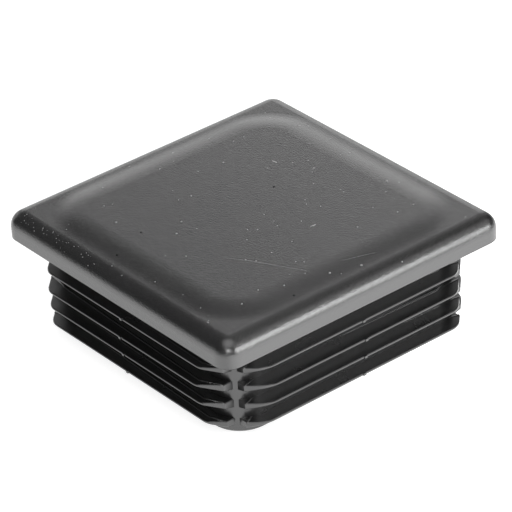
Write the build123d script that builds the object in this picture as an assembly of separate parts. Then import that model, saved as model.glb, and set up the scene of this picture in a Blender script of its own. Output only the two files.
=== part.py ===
from build123d import *
import math
import os

os.makedirs("parts", exist_ok=True)

# All lengths in mm. Origin: middle of the head's underside, where the end of the tube seats.
# +Z points out of the tube, the insert hangs below z = 0.

# head
head_width = 60.0
head_rim_height = 4.85
head_corner_radius = 3.0
head_top_edge_radius = 2.8
head_bottom_edge_bevel = 0.15

# raised middle of the top, reached by an S-shaped slope all round
crown_rise = 0.52
crown_foot_half = 27.2
crown_steepest_half = 25.1
crown_plateau_half = 21.2
crown_plateau_corner_radius = 5.0

# insert body
body_half = 25.5
body_corner_radius = 6.0
body_bottom_z = -17.2
body_wall = 2.0
body_draft = 0.4
body_bottom_bevel = 0.35
hollow_ceiling_z = 2.0
hollow_draft = 1.0
hollow_ceiling_bevel = 1.0

# fins: one entry per level, from the head down; the bend radii are those of the two ends of
# a fin on the X sides, then on the Y sides
fin_tip_half = (28.5, 29.0, 28.6, 28.1)
fin_top_z = (-3.72, -7.12, -10.66, -14.32)
fin_tip_thickness = 0.42
fin_underside_slope = 15.0
fin_half_length = 23.4
fin_corner_reach = 49.2
fin_bend_radii = ((5.0, 4.0), (3.5, 2.2))
fin_end_radius = 0.5
fin_edge_bevel = 0.12

# mark left where the two halves of the mould meet, at the middle of each fin tip
witness_width = 0.55
witness_proud = 0.14


# rounded square standing on z0; a positive taper narrows it as it rises
def rounded_block(half, corner, z0, z1, taper=0.0):
    with BuildPart() as p:
        with BuildSketch(Plane.XY.offset(z0)):
            RectangleRounded(2 * half, 2 * half, corner)
        extrude(amount=z1 - z0, taper=taper)
    return p.part


# a profile drawn in (distance from the centre, z), carried round a rounded square
def slope_ring(profile_points, half, corner):
    start, upper, mid, lower, end, z0 = profile_points
    inner = half - corner
    solid = None
    with BuildSketch(Plane.XZ) as sk:
        with BuildLine():
            ThreePointArc(start, upper, mid)
            ThreePointArc(mid, lower, end)
            Polyline(end, (end[0], z0), (inner, z0), (inner, start[1]), start)
        make_face()
    face = sk.sketch.face()
    side = extrude(face, amount=inner, both=True)
    axis = Axis((inner, inner, 0), (0, 0, 1))
    corner_face = Pos(0, inner, 0) * face
    turn = revolve(corner_face, axis, revolution_arc=90)
    quarter = side + turn
    for k in range(4):
        piece = Rot(0, 0, 90 * k) * quarter
        solid = piece if solid is None else solid + piece
    return solid


# plateau and a slope of two arcs, tangent to the plateau and to each other; the long upper arc
# and the short lower one meet where the slope is steepest
def crown_solid():
    z0 = head_rim_height - 1.0
    z1 = head_rim_height
    z2 = head_rim_height + crown_rise
    upper_run = crown_steepest_half - crown_plateau_half
    lower_run = crown_foot_half - crown_steepest_half
    steepest = 2 * math.atan(crown_rise / (upper_run + lower_run))
    upper_radius = upper_run / math.sin(steepest)
    lower_radius = lower_run / math.sin(steepest)
    half_sine = math.sin(steepest / 2)
    half_drop = 1 - math.cos(steepest / 2)
    points = (
        (crown_plateau_half, z2),
        (crown_plateau_half + upper_radius * half_sine, z2 - upper_radius * half_drop),
        (crown_steepest_half, z2 - upper_run * math.tan(steepest / 2)),
        (crown_foot_half - lower_radius * half_sine, z1 + lower_radius * half_drop),
        (crown_foot_half, z1),
        z0,
    )
    ring = slope_ring(points, crown_plateau_half, crown_plateau_corner_radius)
    inner = crown_plateau_half - crown_plateau_corner_radius
    middle = Pos(0, 0, (z0 + z2) / 2) * Box(2 * inner, 2 * inner, z2 - z0)
    return ring + middle


def head():
    block = rounded_block(head_width / 2, head_corner_radius, 0, head_rim_height)
    block = fillet(block.faces().sort_by(Axis.Z)[-1].edges(), head_top_edge_radius)
    block = chamfer(block.faces().sort_by(Axis.Z)[0].edges(), head_bottom_edge_bevel)
    return block + crown_solid()


def insert_body():
    height = -body_bottom_z
    low_half = body_half - height * math.tan(math.radians(body_draft))
    low_corner = body_corner_radius - (body_half - low_half)
    body = rounded_block(low_half, low_corner, body_bottom_z, 0.5, taper=-body_draft)
    return chamfer(body.faces().sort_by(Axis.Z)[0].edges(), body_bottom_bevel)


def hollow():
    half = body_half - body_wall
    corner = body_corner_radius - body_wall
    block = rounded_block(half, corner, body_bottom_z - 1, hollow_ceiling_z, taper=hollow_draft)
    return chamfer(block.faces().sort_by(Axis.Z)[-1].edges(), hollow_ceiling_bevel)


# plan of one fin: a straight tip between two ends that turn in at 45 degrees
def fin_plan(tip_half, root, bend_radii):
    bend = fin_corner_reach - tip_half
    end_x = fin_corner_reach - fin_half_length
    corners = ((end_x, fin_half_length), (tip_half, bend), (tip_half, -bend), (end_x, -fin_half_length))
    with BuildSketch() as sk:
        with BuildLine():
            Polyline((root, -fin_half_length), (root, fin_half_length), *corners, close=True)
        make_face()
        for x, y in corners:
            at_corner = sk.vertices().sort_by_distance((x, y))[0]
            if x == end_x:
                fillet(at_corner, fin_end_radius)
            else:
                fillet(at_corner, bend_radii[0] if y < 0 else bend_radii[1])
    return sk.sketch


# wedge blade with a flat top; the underside climbs towards the tip, whose edges are bevelled
def fin(tip_half, top_z, bend_radii):
    root = body_half - body_wall
    slope = math.tan(math.radians(fin_underside_slope))
    tip_low = top_z - fin_tip_thickness
    root_low = tip_low - (tip_half - root) * slope
    with BuildSketch(Plane.XZ) as sk:
        with BuildLine():
            Polyline(
                (root, top_z), (tip_half, top_z), (tip_half, tip_low), (root, root_low), close=True
            )
        make_face()
    wedge = extrude(sk.sketch.face(), amount=fin_half_length, both=True)
    height = top_z - root_low + 1
    blade = wedge & extrude(Pos(0, 0, root_low - 0.5) * fin_plan(tip_half, root, bend_radii), height)
    top = blade.faces().sort_by(Axis.Z)[-1]
    underside = blade.faces().filter_by(lambda f: f.normal_at().Z < -0.5)[0]
    rim = [e for e in top.edges() + underside.edges() if e.center().X > root + 0.01]
    return chamfer(rim, fin_edge_bevel)


# four fins round the insert, each with its mould mark
def fin_level(tip_half, top_z):
    mark = Pos(tip_half - 0.5 + witness_proud / 2, 0, top_z - fin_tip_thickness / 2)
    mark = mark * Box(1.0 + witness_proud, witness_width, fin_tip_thickness)
    level = None
    for k in range(4):
        one = Rot(0, 0, 90 * k) * (fin(tip_half, top_z, fin_bend_radii[k % 2]) + mark)
        level = one if level is None else level + one
    return level


def end_cap():
    cap = head() + insert_body()
    for tip_half, top_z in zip(fin_tip_half, fin_top_z):
        cap = cap + fin_level(tip_half, top_z)
    cap = cap - hollow()
    return cap


solid = end_cap().solids()[0]
solid.label = "end_cap"
export_step(solid, "parts/end_cap.step")
box = solid.bounding_box()
print("volume cm3", round(solid.volume / 1000, 3))
print("box", box.min, box.max)
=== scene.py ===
import math
import random

import bmesh
import bpy
from mathutils import Matrix, Vector, noise


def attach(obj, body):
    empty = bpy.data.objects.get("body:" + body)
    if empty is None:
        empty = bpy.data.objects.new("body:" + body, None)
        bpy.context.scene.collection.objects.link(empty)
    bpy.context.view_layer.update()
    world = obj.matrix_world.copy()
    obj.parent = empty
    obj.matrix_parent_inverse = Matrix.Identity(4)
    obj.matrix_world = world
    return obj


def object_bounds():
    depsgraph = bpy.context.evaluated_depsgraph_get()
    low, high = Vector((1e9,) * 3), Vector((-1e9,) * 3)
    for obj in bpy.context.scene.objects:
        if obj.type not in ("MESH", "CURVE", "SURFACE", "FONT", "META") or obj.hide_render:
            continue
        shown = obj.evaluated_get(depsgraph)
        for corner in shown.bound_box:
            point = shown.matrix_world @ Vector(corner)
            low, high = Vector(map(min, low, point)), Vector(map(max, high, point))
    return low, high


mm = 0.001
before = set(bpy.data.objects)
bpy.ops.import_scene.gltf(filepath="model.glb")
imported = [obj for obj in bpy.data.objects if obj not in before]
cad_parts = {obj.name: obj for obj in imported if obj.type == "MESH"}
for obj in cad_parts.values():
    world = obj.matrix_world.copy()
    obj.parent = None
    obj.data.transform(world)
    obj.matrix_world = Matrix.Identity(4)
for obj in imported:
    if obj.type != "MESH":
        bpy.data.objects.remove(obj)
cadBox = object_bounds()
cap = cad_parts["end_cap"]
print("frame loaded")


class Sock:
    # a shader socket that can stand in a Python expression; every operator adds one Math node
    def __init__(self, shader, socket):
        self.shader = shader
        self.socket = socket

    def math(self, operation, *others, clamp=False):
        return self.shader.node("ShaderNodeMath", {"operation": operation, "use_clamp": clamp},
                                dict(enumerate((self,) + others)))

    def reflected(self, operation, other):
        return self.shader.node("ShaderNodeMath", {"operation": operation}, {0: other, 1: self})

    def __add__(self, other):
        return self.math("ADD", other)

    def __mul__(self, other):
        return self.math("MULTIPLY", other)

    def __sub__(self, other):
        return self.math("SUBTRACT", other)

    def __rsub__(self, other):
        return self.reflected("SUBTRACT", other)

    def __truediv__(self, other):
        return self.math("DIVIDE", other)

    def __rtruediv__(self, other):
        return self.reflected("DIVIDE", other)

    def __pow__(self, other):
        return self.math("POWER", other)

    def __rpow__(self, other):
        return self.reflected("POWER", other)

    __radd__ = __add__
    __rmul__ = __mul__

    def clamp(self):
        return self.math("ADD", 0.0, clamp=True)

    def between(self, low, high):
        # low where this socket is 0, high where it is 1
        return self * (high - low) + low


class Shader:
    # builds one node tree, of a material or of the world
    def __init__(self, owner):
        owner.use_nodes = True
        self.tree = owner.node_tree
        self.tree.nodes.clear()
        isWorld = isinstance(owner, bpy.types.World)
        self.target = "ShaderNodeOutputWorld" if isWorld else "ShaderNodeOutputMaterial"

    def node(self, kind, settings=None, sockets=None, out=0):
        # settings come first, because they can change which sockets there are
        made = self.tree.nodes.new(kind)
        for name, value in (settings or {}).items():
            setattr(made, name, value)
        for key, value in (sockets or {}).items():
            if isinstance(value, Sock):
                self.tree.links.new(value.socket, made.inputs[key])
            else:
                made.inputs[key].default_value = value
        if isinstance(out, tuple):
            return [Sock(self, made.outputs[each]) for each in out]
        return Sock(self, made.outputs[out]) if made.outputs else None

    def split(self, vector):
        return self.node("ShaderNodeSeparateXYZ", sockets={0: vector}, out=(0, 1, 2))

    def smooth(self, value, start, end, low, high):
        # eases from low to high while value goes from start to end
        return self.node("ShaderNodeMapRange", {"interpolation_type": "SMOOTHSTEP"}, {
            "Value": value, "From Min": start, "From Max": end, "To Min": low, "To Max": high})

    def mottle(self, place, size, detail):
        # soft patches about this large, going up and down around 0.5
        return self.node("ShaderNodeTexNoise", sockets={
            "Vector": place, "Scale": 1 / size, "Detail": detail})

    def grey(self, level, tint=1.0):
        return self.node("ShaderNodeCombineColor", sockets={0: level, 1: level, 2: level * tint})

    def seenDirectly(self):
        # 1 for rays from the eye and for those that mirror or pass the background on
        eye, glossy, through = self.node(
            "ShaderNodeLightPath", out=("Is Camera Ray", "Is Glossy Ray", "Is Transmission Ray"))
        return (eye + glossy + through).clamp()

    def surface(self, shaderSocket):
        self.node(self.target, sockets={"Surface": shaderSocket})


# camera

camera = dict(
    azimuth=52.314, elevation=31.376, roll=-3.445,   # degrees
    lens=247.4, sensor=36.0,                         # mm
    distance=0.5946,                                 # m, from the frame's origin
    originAt=(252.63, 236.26), pictureSize=512,      # pixels
    clipStart=0.01, clipEnd=50.0,                    # m
)


def makeCamera(s):
    a, e, r = (math.radians(s[k]) for k in ("azimuth", "elevation", "roll"))
    back = Vector((math.sin(a) * math.cos(e), -math.cos(a) * math.cos(e), math.sin(e)))
    level = Vector((math.cos(a), math.sin(a), 0))
    upright = back.cross(level)
    right = math.cos(r) * level + math.sin(r) * upright
    up = math.cos(r) * upright - math.sin(r) * level
    perPixel = s["sensor"] / s["lens"] / s["pictureSize"] * s["distance"]
    middle = s["pictureSize"] / 2
    place = (back * s["distance"] - right * (s["originAt"][0] - middle) * perPixel
             + up * (s["originAt"][1] - middle) * perPixel)
    data = bpy.data.cameras.new("camera")
    data.lens = s["lens"]
    data.sensor_width = s["sensor"]
    data.clip_start, data.clip_end = s["clipStart"], s["clipEnd"]
    holder = bpy.data.objects.new("camera", data)
    turn = Matrix((right, up, back)).transposed().to_4x4()
    holder.matrix_world = Matrix.Translation(place) @ turn
    bpy.context.scene.collection.objects.link(holder)
    bpy.context.scene.camera = holder


makeCamera(camera)
print("camera placed")


# studio: floor, world and soft lamps

studio = dict(
    # the floor as the eye and mirrors see it: the light it returns and its own, both fading out;
    # this is a painted pool of light round the object, and painted light raises its glow further on
    # one side
    floorSize=6.0, floorLit=0.45, floorOwn=0.8,
    litRadius=0.115, fadedRadius=0.2, fadedTo=0.42,     # m; it is brightest round the object
    # painted light: the floor's own glow is raised towards this side, as if a lamp lit that part of
    # it
    paintedLightSide=38.0, paintedLightSideGain=0.8,                # degrees from +X; it glows more that way
    paintedLightSideStart=0.005, paintedLightSideEnd=0.035,         # m from the middle
    floorBounce=0.85,                                   # for all other rays
    skySeen=0.06, skyLight=0.45,
    lampDistance=1.2,                                   # m
    # name: (azimuth from +X, elevation, width, height, watts)
    lamps={
        "overhead": (320, 76, 1.2, 1.2, 4.5),
        "front": (320, 25, 0.25, 0.25, 2.6),
        "right": (23, 14, 0.72, 0.5, 6.6),
        "rightHigh": (45, 41, 0.7, 0.3, 0.6),
        "backLeft": (143, 10, 0.7, 0.7, 1.9),
        "left": (180, 10, 0.7, 0.7, 1.0),
        "backHigh": (140, 65, 0.8, 0.8, 0.35),
        "back": (125, 30, 0.7, 0.7, 0.55),
    },
)


def makeFloor(s, level):
    half = s["floorSize"] / 2
    data = bpy.data.meshes.new("floor")
    data.from_pydata([(-half, -half, level), (half, -half, level), (half, half, level),
                      (-half, half, level)], [], [(0, 1, 2, 3)])
    floor = bpy.data.objects.new("floor", data)
    bpy.context.scene.collection.objects.link(floor)
    material = bpy.data.materials.new("paleFloor")
    sh = Shader(material)
    x, y, z = sh.split(sh.node("ShaderNodeTexCoord", out="Object"))
    away = (x * x + y * y) ** 0.5
    # painted light: the floor's colour and its own glow form a pool of light round the object,
    # fading out farther away
    paintedLightPool = sh.smooth(away, s["litRadius"], s["fadedRadius"], 1.0, s["fadedTo"])
    # painted light: the floor glows brighter towards the side 38 degrees from +X, so the faces
    # turned that way mirror more light
    turn = math.radians(s["paintedLightSide"])
    sideways = x * math.cos(turn) + y * math.sin(turn)
    paintedSideLight = sh.smooth(sideways, s["paintedLightSideStart"], s["paintedLightSideEnd"],
                     1.0, 1 + s["paintedLightSideGain"])
    shown = sh.node("ShaderNodeBsdfPrincipled", sockets={
        "Base Color": sh.grey(paintedLightPool * s["floorLit"]), "Roughness": 1.0, "Specular IOR Level": 0.0,
        "Emission Color": sh.grey(paintedLightPool * paintedSideLight * s["floorOwn"]), "Emission Strength": 1.0})
    bounce = s["floorBounce"]
    plain = sh.node("ShaderNodeBsdfDiffuse", sockets={"Color": (bounce, bounce, bounce, 1)})
    sh.surface(sh.node("ShaderNodeMixShader", sockets={0: sh.seenDirectly(), 1: plain, 2: shown}))
    data.materials.append(material)


def makeWorld(s):
    # an even pale light from all round, in front of a dimmer backdrop
    world = bpy.data.worlds.new("studio")
    bpy.context.scene.world = world
    sh = Shader(world)
    light, seen = (sh.node("ShaderNodeBackground", sockets={
        "Color": (1, 1, 1, 1), "Strength": s[name]}) for name in ("skyLight", "skySeen"))
    sh.surface(sh.node("ShaderNodeMixShader", sockets={0: sh.seenDirectly(), 1: light, 2: seen}))


def makeLamps(s):
    # every lamp faces the frame's origin
    for name, (azimuth, elevation, width, height, watts) in s["lamps"].items():
        data = bpy.data.lights.new(name, "AREA")
        data.shape = "RECTANGLE"
        data.size, data.size_y = width, height
        data.energy = watts
        lamp = bpy.data.objects.new(name, data)
        turn, climb = math.radians(azimuth), math.radians(elevation)
        away = Vector((math.cos(turn) * math.cos(climb), math.sin(turn) * math.cos(climb),
                       math.sin(climb)))
        lamp.matrix_world = (Matrix.Translation(away * s["lampDistance"])
                             @ away.to_track_quat("Z", "Y").to_matrix().to_4x4())
        bpy.context.scene.collection.objects.link(lamp)


makeFloor(studio, cadBox[0].z)
makeWorld(studio)
makeLamps(studio)
bpy.context.scene.view_settings.view_transform = "Standard"
print("studio ready")


# moulded plastic: satin, finely grained head and a smoother, blacker insert

plastic = dict(
    headTone=0.016, insertTone=0.006, tint=1.02,
    headRoughness=0.25, insertRoughness=0.28, shine=1.0, ior=1.7,
    shoulder=-0.05 * mm, shoulderBlend=0.1 * mm,              # where the head's finish starts
    grain=0.22 * mm, grainDepth=0.036 * mm, pebble=0.5 * mm, pebbleDepth=0.004 * mm,
    edgeStart=27.0 * mm, edgeFull=28.2 * mm, edgeGain=0.3,    # deeper grain on the rounded edge
    cloud=9 * mm, cloudTone=0.25, cloudRoughness=0.05,        # broad, faint unevenness
    grainDetail=1.0, cloudDetail=3.0,
)


def makePlastic(s):
    material = bpy.data.materials.new("mouldedPlastic")
    sh = Shader(material)
    place = sh.node("ShaderNodeTexCoord", out="Object")
    x, y, height = sh.split(place)
    headShare = ((height - s["shoulder"]) / s["shoulderBlend"]).clamp()

    outward = x.math("ABSOLUTE").math("MAXIMUM", y.math("ABSOLUTE"))
    grain = (sh.mottle(place, s["grain"], s["grainDetail"]) * s["grainDepth"]
             + sh.mottle(place, s["pebble"], s["grainDetail"]) * s["pebbleDepth"])
    grain = grain * sh.smooth(outward, s["edgeStart"], s["edgeFull"], 1.0, 1 + s["edgeGain"])
    bump = sh.node("ShaderNodeBump", sockets={
        "Height": grain * headShare, "Strength": 1.0, "Distance": 1.0})

    cloud = sh.mottle(place, s["cloud"], s["cloudDetail"]) - 0.5
    tone = headShare.between(s["insertTone"], s["headTone"]) * (1 + cloud * s["cloudTone"])
    roughness = headShare.between(s["insertRoughness"], s["headRoughness"])
    sh.surface(sh.node("ShaderNodeBsdfPrincipled", sockets={
        "Base Color": sh.grey(tone, s["tint"]),
        "Roughness": roughness + cloud * s["cloudRoughness"],
        "Specular IOR Level": s["shine"], "IOR": s["ior"], "Normal": bump}))
    return material


mouldedPlastic = makePlastic(plastic)
cap.material_slots[0].material = mouldedPlastic
print("plastic made")


def makePiece(name, bm, material):
    # a smooth-shaded piece that moves with the cap
    data = bpy.data.meshes.new(name)
    bm.to_mesh(data)
    bm.free()
    for polygon in data.polygons:
        polygon.use_smooth = True
    data.materials.append(material)
    piece = bpy.data.objects.new(name, data)
    bpy.context.scene.collection.objects.link(piece)
    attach(piece, "root")


# rims of the fins: a flat-faced bead with rounded edges is swept along every tip

finRims = dict(
    # mm; one entry per level, from the head down
    tipHalf=(28.5, 29.0, 28.6, 28.1), top=(-3.72, -7.12, -10.66, -14.32),
    thickness=0.42, halfLength=23.4, cornerReach=49.2,
    bends=((5.0, 4.0), (3.5, 2.2)),       # radii at the two ends, on the X sides and on the Y sides
    endGap=0.15,                          # the rim stops this far short of the fin's end
    halfHeight=0.28, edgeRadius=0.13, depth=0.4, proud=0.05,
    bendSteps=7, edgeSteps=4,
)


def roundedCourse(corners, radii, steps):
    # points along a polyline whose inner corners are rounded
    points = [Vector(corners[0])]
    for before, here, after, radius in zip(corners, corners[1:], corners[2:], radii):
        back = (Vector(before) - Vector(here)).normalized()
        ahead = (Vector(after) - Vector(here)).normalized()
        halfOpen = back.angle(ahead) / 2
        middle = Vector(here) + (back + ahead).normalized() * radius / math.sin(halfOpen)
        start = Vector(here) + back * radius / math.tan(halfOpen) - middle
        end = Vector(here) + ahead * radius / math.tan(halfOpen) - middle
        for k in range(steps + 1):
            points.append(middle + start.slerp(end, k / steps))
    return points + [Vector(corners[-1])]


def rimProfile(s):
    # (outward, up) round the section, from its lower inner corner to its upper one
    inner, high, radius, steps = -s["depth"], s["halfHeight"], s["edgeRadius"], s["edgeSteps"]
    points = [(inner, -high)]
    for sign, first in ((-1, -90), (1, 0)):
        for k in range(steps + 1):
            angle = math.radians(first + 90 * k / steps)
            points.append((s["proud"] - radius + radius * math.cos(angle),
                           sign * (high - radius) + radius * math.sin(angle)))
    return points + [(inner, high)]


def addRim(bm, s, tipHalf, top, quarter):
    bend = s["cornerReach"] - tipHalf
    endX = s["cornerReach"] - s["halfLength"] + s["endGap"]
    endY = s["halfLength"] - s["endGap"]
    lowBend, highBend = s["bends"][quarter % 2]
    corners = [(endX, endY, 0), (tipHalf, bend, 0), (tipHalf, -bend, 0), (endX, -endY, 0)]
    course = roundedCourse(corners, [highBend, lowBend], s["bendSteps"])
    turn = Matrix.Rotation(math.radians(90 * quarter), 4, "Z")
    profile = rimProfile(s)
    middle = top - s["thickness"] / 2
    rings = []
    for k, point in enumerate(course):
        before, after = course[max(k - 1, 0)], course[min(k + 1, len(course) - 1)]
        outward = (before - after).normalized().cross(Vector((0, 0, 1)))
        outward = outward if outward.dot(point) > 0 else -outward
        places = [point + outward * out + Vector((0, 0, middle + up)) for out, up in profile]
        rings.append([bm.verts.new(turn @ (place * mm)) for place in places])
    count = len(profile)
    for one, two in zip(rings, rings[1:]):
        for j in range(count):
            bm.faces.new((one[j], one[(j + 1) % count], two[(j + 1) % count], two[j]))
    bm.faces.new(rings[0][::-1])
    bm.faces.new(rings[-1])


def makeFinRims(s, material):
    bm = bmesh.new()
    for tipHalf, top in zip(s["tipHalf"], s["top"]):
        for quarter in range(4):
            addRim(bm, s, tipHalf, top, quarter)
    bmesh.ops.recalc_face_normals(bm, faces=bm.faces)
    makePiece("finRims", bm, material)


makeFinRims(finRims, mouldedPlastic)
print("fin rims made")


# what the dust, the lint and the scratches on the head share

litter = dict(
    roughness=0.85, shine=0.3, patchDetail=2.0,
    roundness=2,                          # subdivisions of a grain
    lumpDepth=0.35, lumpScale=1.3, lumpShift=9.0, height=0.45,
    clearAbove=20 * mm,                   # height from which the head is looked for
)


def spotOnHead(x, y):
    # the point of the head at (x, y), and which way its surface faces
    above = Vector((x, y, litter["clearAbove"]))
    hit, place, normal, face = cap.ray_cast(above, Vector((0, 0, -1)))
    return place, normal


def makeLitterFinish(name, tone, unevenness, patch):
    material = bpy.data.materials.new(name)
    sh = Shader(material)
    spread = sh.mottle(sh.node("ShaderNodeTexCoord", out="Object"), patch, litter["patchDetail"])
    sh.surface(sh.node("ShaderNodeBsdfPrincipled", sockets={
        "Base Color": sh.grey((spread - 0.5) * unevenness + tone),
        "Roughness": litter["roughness"], "Specular IOR Level": litter["shine"]}))
    return material


def addCrumb(bm, rng, x, y, across, long=1.0, turn=0.0, height=litter["height"]):
    # one uneven grain, sunk a little into the surface it lies on
    place, normal = spotOnHead(x, y)
    made = bmesh.ops.create_icosphere(bm, subdivisions=litter["roundness"], radius=1.0)["verts"]
    shape = (Matrix.Translation(place) @ normal.to_track_quat("Z", "X").to_matrix().to_4x4()
             @ Matrix.Rotation(turn, 4, "Z")
             @ Matrix.Diagonal((across * long, across, across * height, 1)))
    shift = Vector([rng.uniform(-litter["lumpShift"], litter["lumpShift"]) for axis in range(3)])
    for v in made:
        v.co *= 1 + litter["lumpDepth"] * noise.noise(v.co * litter["lumpScale"] + shift)
        v.co = shape @ v.co


# dust: grains that stand out, finer ones all over, and crumbs along the left rounded edge

dust = dict(
    # mm from the middle of the head, where the grains that stand out lie
    clear=((-10.5, -4.5), (6, -3.5), (-7, 15), (-3, 16.5), (-20, 12.5), (-15.5, 6.5), (-16.5, 24.5),
           (-3, 24.5), (9, 22.5), (18, 20.5), (18, 17), (14, 15), (17, 9), (4, 8.5), (12, -11),
           (13.5, -10), (22.5, -11.5), (24.5, -3.5), (26, 2), (22, -20), (22, -27), (-2.5, -14),
           (-5, -11), (-23.5, -13.5), (-26.5, -5.5), (-12.5, -19)),
    clearSize=(0.11, 0.18), clearStretch=(1.0, 1.5),
    fine=60, fineSize=(0.04, 0.08), fineStretch=(1.0, 1.8), reach=29.0,
    edgeCrumbs=40, edgeSize=(0.04, 0.09), edgeRun=(-28.0, -5.0), edgeBand=(27.6, 29.5),
    tone=0.36, unevenness=0.5, patch=0.15 * mm, seed=11,
)


def makeDustGrains(s):
    rng = random.Random(s["seed"])
    bm = bmesh.new()
    for x, y in s["clear"]:
        addCrumb(bm, rng, x * mm, y * mm, rng.uniform(*s["clearSize"]) * mm,
                 long=rng.uniform(*s["clearStretch"]), turn=rng.uniform(0, math.pi))
    for each in range(s["fine"]):
        x, y = (rng.uniform(-s["reach"], s["reach"]) for axis in range(2))
        addCrumb(bm, rng, x * mm, y * mm, rng.uniform(*s["fineSize"]) * mm,
                 long=rng.uniform(*s["fineStretch"]), turn=rng.uniform(0, math.pi))
    for each in range(s["edgeCrumbs"]):
        x = rng.uniform(*s["edgeRun"])
        y = -rng.uniform(*s["edgeBand"])
        addCrumb(bm, rng, x * mm, y * mm, rng.uniform(*s["edgeSize"]) * mm)
    makePiece("dustGrains", bm, makeLitterFinish("dust", s["tone"], s["unevenness"], s["patch"]))


makeDustGrains(dust)
print("dust laid")


# lint: two short pale fibres, and a few dark grains

lint = dict(
    fibres=((11.5, 4, 84), (-9.5, 13, 8)),                           # mm, mm, turn in degrees
    length=1.2, halfAcross=0.09, fibreHeight=0.8,
    darkSpots=((-3, 7.5), (-4.5, -25), (25.5, -12), (-7, -18)),      # mm
    darkSize=0.19, darkHeight=0.35,
    tone=0.5, unevenness=0.2, darkTone=0.004, darkUnevenness=0.002, patch=0.2 * mm, seed=5,
)


def makeLint(s):
    rng = random.Random(s["seed"])
    bm = bmesh.new()
    for x, y, turn in s["fibres"]:
        addCrumb(bm, rng, x * mm, y * mm, s["halfAcross"] * mm,
                 long=s["length"] / 2 / s["halfAcross"], turn=math.radians(turn),
                 height=s["fibreHeight"])
    makePiece("lintFibres", bm, makeLitterFinish("lint", s["tone"], s["unevenness"], s["patch"]))
    bm = bmesh.new()
    for x, y in s["darkSpots"]:
        addCrumb(bm, rng, x * mm, y * mm, s["darkSize"] * mm, turn=rng.uniform(0, math.pi),
                 height=s["darkHeight"])
    makePiece("darkGrains", bm,
              makeLitterFinish("darkDust", s["darkTone"], s["darkUnevenness"], s["patch"]))


makeLint(lint)
print("lint laid")


# scratches: a raised burr along each course, tapering to nothing at both ends

scratches = dict(
    # mm; each one's course over the head
    courses=(((8.6, -13.3), (13.1, -10.5), (18.3, -7.8), (22.2, -5.7)),
             ((23.1, 0.0), (24.0, 3.2), (24.9, 6.3))),
    across=(0.14, 0.09), proud=0.015, sunk=0.02,
    leastTaper=0.04, steps=40,
    tone=0.3, unevenness=0.3, patch=0.5 * mm,
)


def makeScratches(s):
    bm = bmesh.new()
    for course, across in zip(s["courses"], s["across"]):
        rows = []
        for k in range(s["steps"] + 1):
            along = k / s["steps"] * (len(course) - 1)
            leg = min(int(along), len(course) - 2)
            start, end = (Vector((*spot, 0)) for spot in course[leg:leg + 2])
            spot = start.lerp(end, along - leg) * mm
            place, normal = spotOnHead(spot.x, spot.y)
            side = normal.cross(end - start).normalized()
            taper = max(s["leastTaper"], math.sin(math.pi * k / s["steps"]) ** 0.5)
            half = across * mm * taper / 2
            top = place + normal * s["proud"] * mm * taper
            low = place - normal * s["sunk"] * mm
            rows.append([bm.verts.new(v) for v in (low - side * half, top, low + side * half)])
        for one, two in zip(rows, rows[1:]):
            for k in range(3):
                bm.faces.new((one[k], one[(k + 1) % 3], two[(k + 1) % 3], two[k]))
        bm.faces.new(rows[0][::-1])
        bm.faces.new(rows[-1])
    bmesh.ops.recalc_face_normals(bm, faces=bm.faces)
    makePiece("scratches", bm,
              makeLitterFinish("scratchedPlastic", s["tone"], s["unevenness"], s["patch"]))


makeScratches(scratches)
print("scratches made")
